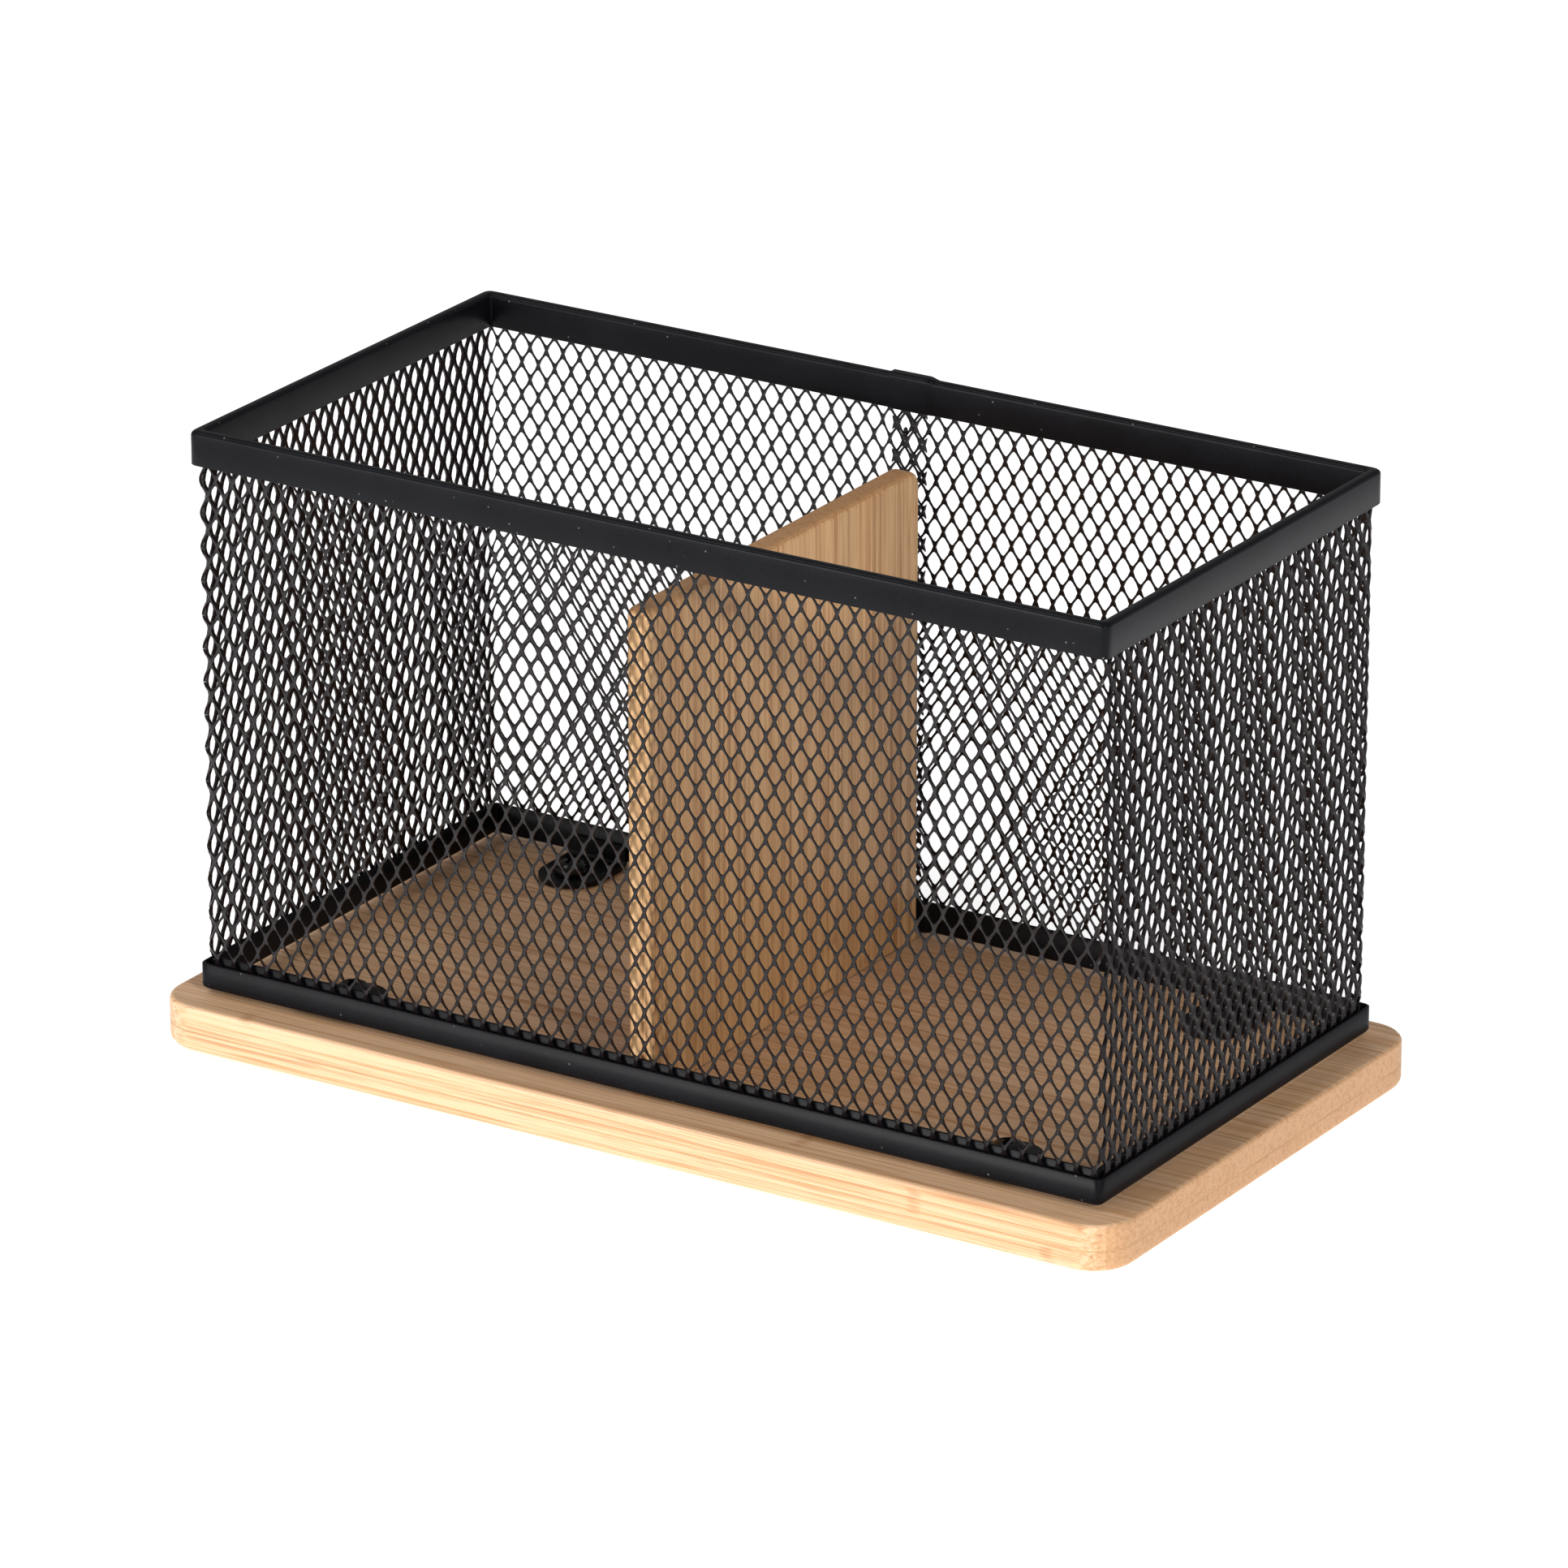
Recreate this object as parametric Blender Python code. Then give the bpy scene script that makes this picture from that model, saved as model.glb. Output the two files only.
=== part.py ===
"""Desk organizer: an expanded-metal basket on a two-ply bamboo base, with a bamboo divider.

Frame: +X along the long side, +Y from front to back, +Z up, origin under the middle of the
base at the level it stands on. Sizes are in metres.
"""

import math

import bmesh
import bpy
from mathutils import Matrix, Vector

MM = 0.001

# Clearance between two pieces that touch or pass through one another.
GAP = 0.3 * MM

# Basket: a mesh sheet bent to a rectangle, its two edges held in folded steel channels.
BASKET_LENGTH = 211.0 * MM
BASKET_WIDTH = 106.4 * MM
BASKET_HEIGHT = 120.0 * MM
BASKET_CORNER_RADIUS = 3.0 * MM
MESH_THICKNESS = 0.9 * MM
CHANNEL_SHEET = 0.5 * MM
FOLD_RADIUS = 0.9 * MM
RIM_HEIGHT = 7.2 * MM
FOOT_OUTER_HEIGHT = 5.6 * MM
FOOT_INNER_HEIGHT = 6.8 * MM
FOOT_LIFT = 1.1 * MM

# Lap of the sheet and both channels, in the middle of the back wall.
LAP_CENTRE_X = -2.5 * MM
LAP_LENGTH = 8.4 * MM
LAP_RAMP = 0.5 * MM
LAP_MESH_GROWTH = 0.5 * MM
LAP_CHANNEL_GROWTH = 0.4 * MM

# Base: two glued plies of bamboo, wider than the basket all round, on four thin pads.
LEDGE_END = 6.7 * MM
LEDGE_SIDE = 7.2 * MM
BASE_CORNER_RADIUS = 9.0 * MM
UPPER_PLY = 5.2 * MM
LOWER_PLY = 4.5 * MM
TOP_ARRIS = 0.8 * MM
BOTTOM_ARRIS = 2.0 * MM
PAD_DIAMETER = 12.0 * MM
PAD_THICKNESS = 1.0 * MM
PAD_EDGE = 0.3 * MM
PAD_INSET = 16.0 * MM

# Lugs: tongues that rise behind the foot channel, each held down by one screw.
LUG_SHEET = 1.0 * MM
LUG_WIDTH = 14.0 * MM
LUG_BEND_RADIUS = 0.6 * MM
LUG_RISE = 5.0 * MM
LUG_FROM_END = 28.5 * MM
LUG_HOLE_INSET = 13.2 * MM
LUG_SCREW_DIAMETER = 2.8 * MM
LUG_SCREW_DEPTH = 7.0 * MM
LUG_SCREW_HEAD_DIAMETER = 7.4 * MM
LUG_SCREW_HEAD_HEIGHT = 2.8 * MM
RECESS_SPAN = 4.0 * MM
RECESS_WIDTH = 0.9 * MM
RECESS_DEPTH = 1.3 * MM

# Divider: a bamboo panel across the basket, screwed on from below the base.
DIVIDER_THICKNESS = 5.5 * MM
DIVIDER_HEIGHT = 101.5 * MM
DIVIDER_X = -1.5 * MM
DIVIDER_FRONT_CORNER_RADIUS = 1.8 * MM
DIVIDER_REAR_CORNER_RADIUS = 3.4 * MM
DIVIDER_ARRIS = 1.2 * MM
DIVIDER_SCREW_DIAMETER = 2.6 * MM
DIVIDER_SCREW_HEAD_DIAMETER = 6.4 * MM
DIVIDER_SCREW_HEAD_HEIGHT = 2.0 * MM
DIVIDER_SCREW_LENGTH = 24.0 * MM
DIVIDER_SCREW_SPACING = 56.0 * MM
SCREW_SINK = 0.2 * MM
SCREW_TIP = 1.6 * MM

# Smoothness of round shapes.
BASKET_CORNER_STEPS = 5
BASE_CORNER_STEPS = 8
SMALL_ARC_STEPS = 3
TURN_STEPS = 24
HOLE_STEPS = 20
LUG_END_STEPS = 14
CUT_OVERSHOOT = 1.0 * MM

# Levels, from the surface the base stands on upwards.
BASE_BOTTOM = PAD_THICKNESS + GAP
GLUE_BOTTOM = BASE_BOTTOM + LOWER_PLY
GLUE_TOP = GLUE_BOTTOM + GAP
BASE_TOP = GLUE_TOP + UPPER_PLY
RIM_TOP = BASE_TOP + BASKET_HEIGHT
FOOT_BOTTOM = BASE_TOP + FOOT_LIFT
LUG_BOTTOM = BASE_TOP + GAP
LUG_HEAD_SEAT = LUG_BOTTOM + LUG_SHEET + GAP

# Sizes that follow from the ones above.
BASE_LENGTH = BASKET_LENGTH + 2 * LEDGE_END
BASE_WIDTH = BASKET_WIDTH + 2 * LEDGE_SIDE
MESH_INSET = CHANNEL_SHEET + GAP
CHANNEL_WIDTH = 2 * MESH_INSET + MESH_THICKNESS
LUG_HOLE_DIAMETER = LUG_SCREW_DIAMETER + 2 * GAP
DIVIDER_HOLE_DIAMETER = DIVIDER_SCREW_DIAMETER + 2 * GAP


def clear_scene():
    """Remove every object, so that the script starts from nothing."""
    for item in list(bpy.data.objects):
        bpy.data.objects.remove(item, do_unlink=True)


def make_material(name, colour, metallic, roughness):
    """Return a Principled material with one colour, metallic value and roughness."""
    material = bpy.data.materials.new(name)
    material.use_nodes = True
    shader = material.node_tree.nodes["Principled BSDF"]
    shader.inputs["Base Color"].default_value = (*colour, 1.0)
    shader.inputs["Metallic"].default_value = metallic
    shader.inputs["Roughness"].default_value = roughness
    return material


def add_object(name, mesh_data, material=None, location=(0.0, 0.0, 0.0), turn_z=0.0):
    """Write a bmesh to a new object, placed by its location and its turn about Z."""
    bmesh.ops.recalc_face_normals(mesh_data, faces=mesh_data.faces)
    mesh = bpy.data.meshes.new(name)
    mesh_data.to_mesh(mesh)
    mesh_data.free()
    mesh.shade_smooth()
    mesh.set_sharp_from_angle(angle=math.radians(35.0))
    item = bpy.data.objects.new(name, mesh)
    item.location = location
    item.rotation_euler = (0.0, 0.0, turn_z)
    if material is not None:
        mesh.materials.append(material)
    bpy.context.scene.collection.objects.link(item)
    return item


def cut(target, cutter_name, cutter_mesh):
    """Cut a closed mesh, given in world coordinates, out of an object."""
    cutter = add_object(cutter_name, cutter_mesh)
    cutter.hide_render = True
    cutter.display_type = "WIRE"
    modifier = target.modifiers.new(cutter_name, "BOOLEAN")
    modifier.operation = "DIFFERENCE"
    modifier.object = cutter


def bevel(mesh_data, edges, radius, steps):
    """Round the given edges."""
    bmesh.ops.bevel(
        mesh_data, geom=edges, offset=radius, offset_type="OFFSET", segments=steps,
        profile=0.5, affect="EDGES", clamp_overlap=True, material=-1)


def edges_where(mesh_data, test):
    """Return the edges whose two ends both pass a test on their position."""
    return [edge for edge in mesh_data.edges if all(test(vert.co) for vert in edge.verts)]


def rounded_board(length, width, bottom, top, corner_radius):
    """Return a flat board centred on the Z axis, with its four upright corners rounded."""
    board = bmesh.new()
    bmesh.ops.create_cube(board, size=1.0)
    bmesh.ops.scale(board, vec=(length, width, top - bottom), verts=board.verts)
    bmesh.ops.translate(board, vec=(0.0, 0.0, (top + bottom) / 2), verts=board.verts)
    uprights = [edge for edge in board.edges if abs(edge.verts[0].co.z - edge.verts[1].co.z) > GAP]
    bevel(board, uprights, corner_radius, BASE_CORNER_STEPS)
    return board


def add_cylinder(mesh_data, diameter, bottom, top, centre, steps=HOLE_STEPS):
    """Add an upright cylinder."""
    place = Matrix.Translation((centre[0], centre[1], (bottom + top) / 2))
    bmesh.ops.create_cone(
        mesh_data, cap_ends=True, segments=steps, radius1=diameter / 2, radius2=diameter / 2,
        depth=top - bottom, matrix=place)


def extrude_outline(points, bottom, top):
    """Return an upright solid from an outline given anticlockwise in X and Y."""
    solid = bmesh.new()
    face = solid.faces.new([solid.verts.new((x, y, bottom)) for x, y in points])
    grown = bmesh.ops.extrude_face_region(solid, geom=[face])
    raised = [item for item in grown["geom"] if isinstance(item, bmesh.types.BMVert)]
    bmesh.ops.translate(solid, vec=(0.0, 0.0, top - bottom), verts=raised)
    return solid


def lug_places():
    """Return the middle of each lug's screw hole, by the lug's name."""
    x = BASKET_LENGTH / 2 - LUG_FROM_END
    y = BASKET_WIDTH / 2 - LUG_HOLE_INSET
    return {
        "front_left": (-x, -y),
        "front_right": (x, -y),
        "back_left": (-x, y),
        "back_right": (x, y),
    }


def divider_screw_places():
    """Return the middle of each screw that holds the divider, by the screw's name."""
    y = DIVIDER_SCREW_SPACING / 2
    return {"front": (DIVIDER_X, -y), "back": (DIVIDER_X, y)}


def basket_stations():
    """Return the stops of a sweep round the basket.

    Each stop is a point on the basket's outer outline, the direction that points out of the
    basket there, and how far the lap has grown, from 0 to 1.
    """
    half_length = BASKET_LENGTH / 2 - BASKET_CORNER_RADIUS
    half_width = BASKET_WIDTH / 2 - BASKET_CORNER_RADIUS
    corners = [(half_length, half_width, 0), (-half_length, half_width, 1),
               (-half_length, -half_width, 2), (half_length, -half_width, 3)]
    stations = []
    for x, y, quarter in corners:
        for step in range(BASKET_CORNER_STEPS + 1):
            angle = (quarter + step / BASKET_CORNER_STEPS) * math.pi / 2
            outward = Vector((math.cos(angle), math.sin(angle), 0.0))
            stations.append((Vector((x, y, 0.0)) + outward * BASKET_CORNER_RADIUS, outward, 0.0))
        if quarter == 0:
            stations.extend(lap_stations())
    return stations


def lap_stations():
    """Return the stops at both ends of the lap on the back wall, from +X to -X."""
    outward = Vector((0.0, 1.0, 0.0))
    half = LAP_LENGTH / 2
    stops = [(half, 0.0), (half - LAP_RAMP, 1.0), (LAP_RAMP - half, 1.0), (-half, 0.0)]
    return [(Vector((LAP_CENTRE_X + x, BASKET_WIDTH / 2, 0.0)), outward, grown)
            for x, grown in stops]


def sweep_round_basket(section):
    """Return a closed loop with a section that may grow at the lap.

    The section is a function of the lap's growth. It gives the points of a closed outline as
    pairs of inset from the basket's outer face and height.
    """
    loop = bmesh.new()
    rings = []
    for point, outward, grown in basket_stations():
        rings.append([loop.verts.new(point - outward * inset + Vector((0.0, 0.0, height)))
                      for inset, height in section(grown)])
    count = len(rings[0])
    for index, ring in enumerate(rings):
        following = rings[(index + 1) % len(rings)]
        for corner in range(count):
            after = (corner + 1) % count
            loop.faces.new((ring[corner], ring[after], following[after], following[corner]))
    return loop


def arc(centre, radius, start, end):
    """Return the points of an arc, with its angles in degrees."""
    points = []
    for step in range(SMALL_ARC_STEPS + 1):
        angle = math.radians(start + (end - start) * step / SMALL_ARC_STEPS)
        points.append((centre[0] + radius * math.cos(angle), centre[1] + radius * math.sin(angle)))
    return points


def mesh_section(grown):
    """Section of the mesh sheet, inside both channels."""
    outer = MESH_INSET
    inner = MESH_INSET + MESH_THICKNESS + grown * LAP_MESH_GROWTH
    bottom = FOOT_BOTTOM + CHANNEL_SHEET + GAP
    top = RIM_TOP - CHANNEL_SHEET - GAP
    return [(outer, bottom), (outer, top), (inner, top), (inner, bottom)]


def rim_section(grown):
    """Section of the rim channel, which is folded over the sheet's top edge."""
    proud = grown * LAP_CHANNEL_GROWTH
    wide = CHANNEL_WIDTH + grown * LAP_MESH_GROWTH
    top = RIM_TOP + proud
    bottom = RIM_TOP - RIM_HEIGHT
    roof = RIM_TOP - CHANNEL_SHEET
    return [
        (-proud, bottom),
        *arc((FOLD_RADIUS - proud, top - FOLD_RADIUS), FOLD_RADIUS, 180.0, 90.0),
        *arc((wide - FOLD_RADIUS, top - FOLD_RADIUS), FOLD_RADIUS, 90.0, 0.0),
        (wide, bottom),
        (wide - CHANNEL_SHEET, bottom),
        (wide - CHANNEL_SHEET, roof),
        (CHANNEL_SHEET, roof),
        (CHANNEL_SHEET, bottom),
    ]


def foot_section(grown):
    """Section of the foot channel, which is folded under the sheet's bottom edge."""
    proud = grown * LAP_CHANNEL_GROWTH
    wide = CHANNEL_WIDTH + grown * LAP_MESH_GROWTH
    bottom = FOOT_BOTTOM - proud
    outer_top = FOOT_BOTTOM + FOOT_OUTER_HEIGHT
    inner_top = FOOT_BOTTOM + FOOT_INNER_HEIGHT
    floor = FOOT_BOTTOM + CHANNEL_SHEET
    return [
        (-proud, outer_top),
        *arc((FOLD_RADIUS - proud, bottom + FOLD_RADIUS), FOLD_RADIUS, 180.0, 270.0),
        *arc((wide - FOLD_RADIUS, bottom + FOLD_RADIUS), FOLD_RADIUS, 270.0, 360.0),
        (wide, inner_top),
        (wide - CHANNEL_SHEET, inner_top),
        (wide - CHANNEL_SHEET, floor),
        (CHANNEL_SHEET, floor),
        (CHANNEL_SHEET, outer_top),
    ]


def build_basket(steel, mesh_steel):
    """Build the mesh sheet and the two channels on its edges."""
    add_object("mesh_wrap", sweep_round_basket(mesh_section), mesh_steel)
    add_object("rim_channel", sweep_round_basket(rim_section), steel)
    add_object("foot_channel", sweep_round_basket(foot_section), steel)


def build_upper_ply(bamboo):
    """Build the base's upper ply, with pilot holes for all six screws."""
    ply = rounded_board(BASE_LENGTH, BASE_WIDTH, GLUE_TOP, BASE_TOP, BASE_CORNER_RADIUS)
    bevel(ply, edges_where(ply, lambda point: point.z > BASE_TOP - GAP), TOP_ARRIS, SMALL_ARC_STEPS)
    item = add_object("base_upper_ply", ply, bamboo)
    holes = bmesh.new()
    for place in lug_places().values():
        add_cylinder(holes, LUG_HOLE_DIAMETER, GLUE_TOP - GAP / 2, BASE_TOP + CUT_OVERSHOOT, place)
    for place in divider_screw_places().values():
        add_cylinder(holes, DIVIDER_HOLE_DIAMETER, GLUE_TOP - GAP / 2, BASE_TOP + CUT_OVERSHOOT, place)
    cut(item, "upper_ply_holes", holes)


def build_lower_ply(bamboo):
    """Build the base's lower ply, with blind pilot holes and two countersunk holes."""
    ply = rounded_board(BASE_LENGTH, BASE_WIDTH, BASE_BOTTOM, GLUE_BOTTOM, BASE_CORNER_RADIUS)
    bevel(ply, edges_where(ply, lambda point: point.z < BASE_BOTTOM + GAP), BOTTOM_ARRIS,
          SMALL_ARC_STEPS + 1)
    item = add_object("base_lower_ply", ply, bamboo)
    holes = bmesh.new()
    pilot_bottom = BASE_TOP - LUG_SCREW_DEPTH - GAP
    for place in lug_places().values():
        if pilot_bottom < GLUE_BOTTOM:
            add_cylinder(holes, LUG_HOLE_DIAMETER, pilot_bottom, GLUE_BOTTOM + GAP / 2, place)
    cut(item, "lug_pilot_holes", holes)
    countersinks = bmesh.new()
    for place in divider_screw_places().values():
        profile = divider_screw_profile(GAP, BASE_BOTTOM - CUT_OVERSHOOT, GLUE_BOTTOM + GAP / 2)
        add_turned(countersinks, profile, place)
    cut(item, "divider_countersinks", countersinks)


def divider_screw_profile(clearance, bottom, top):
    """Return the outline, from bottom to top, of a countersunk screw or of the hole round it."""
    seat = BASE_BOTTOM + SCREW_SINK
    head = DIVIDER_SCREW_HEAD_DIAMETER / 2 + clearance
    shank = DIVIDER_SCREW_DIAMETER / 2 + clearance
    return [(0.0, bottom), (head, bottom), (head, seat),
            (shank, seat + DIVIDER_SCREW_HEAD_HEIGHT), (shank, top), (0.0, top)]


def add_turned(mesh_data, profile, centre):
    """Turn an outline of radius and height pairs about an upright axis."""
    verts = [mesh_data.verts.new((radius, 0.0, height)) for radius, height in profile]
    edges = [mesh_data.edges.new(pair) for pair in zip(verts, verts[1:])]
    before = set(mesh_data.verts) - set(verts)
    bmesh.ops.spin(
        mesh_data, geom=verts + edges, cent=(0.0, 0.0, 0.0), axis=(0.0, 0.0, 1.0),
        angle=math.tau, steps=TURN_STEPS, use_merge=True)
    made = [vert for vert in mesh_data.verts if vert not in before]
    bmesh.ops.translate(mesh_data, vec=(centre[0], centre[1], 0.0), verts=made)
    bmesh.ops.remove_doubles(mesh_data, verts=made, dist=GAP / 30)


def build_pads(rubber):
    """Build the four thin pads under the base."""
    x = BASE_LENGTH / 2 - PAD_INSET
    y = BASE_WIDTH / 2 - PAD_INSET
    for row, side_y in (("front", -1), ("back", 1)):
        for end, side_x in (("left", -1), ("right", 1)):
            pad = bmesh.new()
            add_cylinder(pad, PAD_DIAMETER, 0.0, PAD_THICKNESS, (0.0, 0.0), TURN_STEPS)
            bevel(pad, edges_where(pad, lambda point: point.z < PAD_EDGE), PAD_EDGE, 1)
            add_object(f"foot_pad_{row}_{end}", pad, rubber, (side_x * x, side_y * y, 0.0))


def lug_mesh():
    """Return a lug that runs along +Y from its bend, with its screw hole at the origin."""
    bend = LUG_BEND_RADIUS + LUG_SHEET
    reach = LUG_HOLE_INSET - CHANNEL_WIDTH - GAP - bend
    half = LUG_WIDTH / 2
    outline = [(-half, -reach), (half, -reach)]
    for step in range(LUG_END_STEPS + 1):
        angle = math.pi * step / LUG_END_STEPS
        outline.append((half * math.cos(angle), half * math.sin(angle)))
    lug = extrude_outline(outline, LUG_BOTTOM, LUG_BOTTOM + LUG_SHEET)
    root = min(lug.faces, key=lambda face: face.calc_center_median().y)
    turned = bmesh.ops.spin(
        lug, geom=[root, *root.edges, *root.verts], cent=(0.0, -reach, LUG_BOTTOM + bend),
        axis=(1.0, 0.0, 0.0), angle=-math.pi / 2, steps=4)
    end = [item for item in turned["geom_last"] if isinstance(item, bmesh.types.BMFace)]
    grown = bmesh.ops.extrude_face_region(lug, geom=end)
    raised = [item for item in grown["geom"] if isinstance(item, bmesh.types.BMVert)]
    bmesh.ops.translate(lug, vec=(0.0, 0.0, LUG_RISE - bend), verts=raised)
    bmesh.ops.delete(lug, geom=end, context="FACES_ONLY")
    return lug


def build_lugs(steel):
    """Build the four lugs, each turned so that it points into the basket."""
    for name, (x, y) in lug_places().items():
        turn = 0.0 if y < 0 else math.pi
        item = add_object(f"lug_{name}", lug_mesh(), steel, (x, y, 0.0), turn)
        hole = bmesh.new()
        add_cylinder(hole, LUG_HOLE_DIAMETER, BASE_TOP - CUT_OVERSHOOT,
                     LUG_BOTTOM + LUG_SHEET + CUT_OVERSHOOT, (x, y))
        cut(item, f"lug_hole_{name}", hole)


def lug_screw_profile():
    """Return the outline of a dome-head screw, from its tip to the top of its head."""
    shank = LUG_SCREW_DIAMETER / 2
    head = LUG_SCREW_HEAD_DIAMETER / 2
    end = BASE_TOP - LUG_SCREW_DEPTH
    lip = LUG_SCREW_HEAD_HEIGHT * 0.2
    dome = LUG_SCREW_HEAD_HEIGHT - lip
    points = [(0.0, end), (shank, end + SCREW_TIP), (shank, LUG_HEAD_SEAT), (head, LUG_HEAD_SEAT)]
    for step in range(SMALL_ARC_STEPS * 2):
        angle = math.pi / 2 * step / (SMALL_ARC_STEPS * 2)
        points.append((head * math.cos(angle), LUG_HEAD_SEAT + lip + dome * math.sin(angle)))
    points.append((0.0, LUG_HEAD_SEAT + LUG_SCREW_HEAD_HEIGHT))
    return points


def cross_mesh(centre, bottom, top):
    """Return an upright cross-shaped solid, which cuts a screwdriver recess."""
    long = RECESS_SPAN / 2
    short = RECESS_WIDTH / 2
    quarter = [(long, -short), (long, short), (short, short)]
    outline = []
    for turn in range(4):
        rotation = Matrix.Rotation(turn * math.pi / 2, 2)
        outline.extend(tuple(rotation @ Vector(point)) for point in quarter)
    cross = extrude_outline(outline, bottom, top)
    bmesh.ops.translate(cross, vec=(centre[0], centre[1], 0.0), verts=cross.verts)
    return cross


def build_lug_screws(steel):
    """Build the four dome-head screws, one in each lug."""
    head_top = LUG_HEAD_SEAT + LUG_SCREW_HEAD_HEIGHT
    for name, place in lug_places().items():
        screw = bmesh.new()
        add_turned(screw, lug_screw_profile(), (0.0, 0.0))
        item = add_object(f"lug_screw_{name}", screw, steel, (*place, 0.0))
        recess = cross_mesh(place, head_top - RECESS_DEPTH, head_top + CUT_OVERSHOOT)
        cut(item, f"lug_screw_recess_{name}", recess)


def build_divider(bamboo):
    """Build the divider, which stands between the walls with a clearance at each."""
    front = GAP + CHANNEL_WIDTH - BASKET_WIDTH / 2
    back = BASKET_WIDTH / 2 - CHANNEL_WIDTH - LAP_MESH_GROWTH - GAP
    bottom = BASE_TOP + GAP
    top = BASE_TOP + DIVIDER_HEIGHT
    panel = bmesh.new()
    bmesh.ops.create_cube(panel, size=1.0)
    bmesh.ops.scale(panel, vec=(DIVIDER_THICKNESS, back - front, top - bottom), verts=panel.verts)
    bmesh.ops.translate(
        panel, vec=(DIVIDER_X, (front + back) / 2, (top + bottom) / 2), verts=panel.verts)
    for end, radius in ((front, DIVIDER_FRONT_CORNER_RADIUS), (back, DIVIDER_REAR_CORNER_RADIUS)):
        corner = edges_where(
            panel, lambda point, end=end: point.z > top - GAP and abs(point.y - end) < GAP)
        bevel(panel, corner, radius, BASE_CORNER_STEPS)
    left = DIVIDER_X - DIVIDER_THICKNESS / 2
    right = DIVIDER_X + DIVIDER_THICKNESS / 2
    arrises = [edge for side in (left, right)
               for edge in edges_where(panel, lambda point, side=side: abs(point.x - side) < GAP)
               if max(vert.co.z for vert in edge.verts) > bottom + GAP]
    bevel(panel, arrises, DIVIDER_ARRIS, SMALL_ARC_STEPS)
    item = add_object("divider_panel", panel, bamboo)
    holes = bmesh.new()
    screw_end = BASE_BOTTOM + SCREW_SINK + DIVIDER_SCREW_LENGTH
    for place in divider_screw_places().values():
        add_cylinder(holes, DIVIDER_HOLE_DIAMETER, bottom - CUT_OVERSHOOT, screw_end + GAP, place)
    cut(item, "divider_screw_holes", holes)


def build_divider_screws(steel):
    """Build the two countersunk screws that rise through the base into the divider."""
    bottom = BASE_BOTTOM + SCREW_SINK
    end = bottom + DIVIDER_SCREW_LENGTH
    for name, place in divider_screw_places().items():
        screw = bmesh.new()
        _, head, *shank = divider_screw_profile(0.0, bottom, end - SCREW_TIP)
        add_turned(screw, [(0.0, bottom), (head[0], bottom), *shank[1:-1], (0.0, end)], (0.0, 0.0))
        item = add_object(f"divider_screw_{name}", screw, steel, (*place, 0.0))
        cut(item, f"divider_screw_recess_{name}",
            cross_mesh(place, bottom - CUT_OVERSHOOT, bottom + RECESS_DEPTH))


def main():
    """Build every piece of the organizer."""
    clear_scene()
    bamboo = make_material("bamboo", (0.62, 0.40, 0.20), 0.0, 0.55)
    powder_coat = make_material("black_powder_coat", (0.012, 0.012, 0.013), 0.0, 0.5)
    mesh_coat = make_material("black_mesh_coat", (0.010, 0.010, 0.011), 0.0, 0.42)
    black_screw = make_material("black_screw", (0.010, 0.010, 0.010), 0.6, 0.3)
    zinc_screw = make_material("zinc_screw", (0.60, 0.60, 0.58), 1.0, 0.35)
    rubber = make_material("pad_rubber", (0.03, 0.03, 0.03), 0.0, 0.9)
    build_lower_ply(bamboo)
    build_upper_ply(bamboo)
    build_pads(rubber)
    build_basket(powder_coat, mesh_coat)
    build_lugs(powder_coat)
    build_lug_screws(black_screw)
    build_divider(bamboo)
    build_divider_screws(zinc_screw)


main()
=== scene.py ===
"""Looks of a desk organizer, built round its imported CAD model.

The basket's expanded-metal sheet with its weld drops, its two folded steel channels and the
base's film of glue are modelled here. The bamboo, the lugs, the screws and the pads keep their
CAD shapes and get their finishes here. Sizes are in metres, in the CAD model's own frame.
"""

import logging
import math
from dataclasses import dataclass
from enum import Enum
from typing import Any

import bmesh
import bpy
import numpy as np
from mathutils import Matrix, Vector


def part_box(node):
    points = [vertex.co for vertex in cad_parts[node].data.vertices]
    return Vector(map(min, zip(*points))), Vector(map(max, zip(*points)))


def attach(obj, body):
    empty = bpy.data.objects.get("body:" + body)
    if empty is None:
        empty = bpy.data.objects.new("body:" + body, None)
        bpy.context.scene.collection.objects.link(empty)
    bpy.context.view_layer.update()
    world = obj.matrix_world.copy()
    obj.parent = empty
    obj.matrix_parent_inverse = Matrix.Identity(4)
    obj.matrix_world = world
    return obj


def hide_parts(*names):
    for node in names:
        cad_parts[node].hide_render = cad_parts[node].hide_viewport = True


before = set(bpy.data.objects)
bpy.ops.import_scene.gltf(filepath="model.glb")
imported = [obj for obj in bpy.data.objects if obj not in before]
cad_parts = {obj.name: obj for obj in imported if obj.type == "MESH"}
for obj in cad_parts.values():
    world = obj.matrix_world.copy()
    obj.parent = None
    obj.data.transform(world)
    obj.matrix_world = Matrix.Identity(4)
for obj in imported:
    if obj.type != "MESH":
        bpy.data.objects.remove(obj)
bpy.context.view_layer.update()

MM = 0.001
LOG = logging.getLogger("desk_organizer")
Colour = tuple[float, float, float]
Scale = tuple[float, float, float]
Limits = tuple[float, float]
Ramp = tuple[float, float, float, float]

SHARP_ANGLE = 50.0
WHITE = (1.0, 1.0, 1.0)
PLAIN_SCALE = (1.0, 1.0, 1.0)


# ---------------------------------------------------------------- node trees


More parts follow.
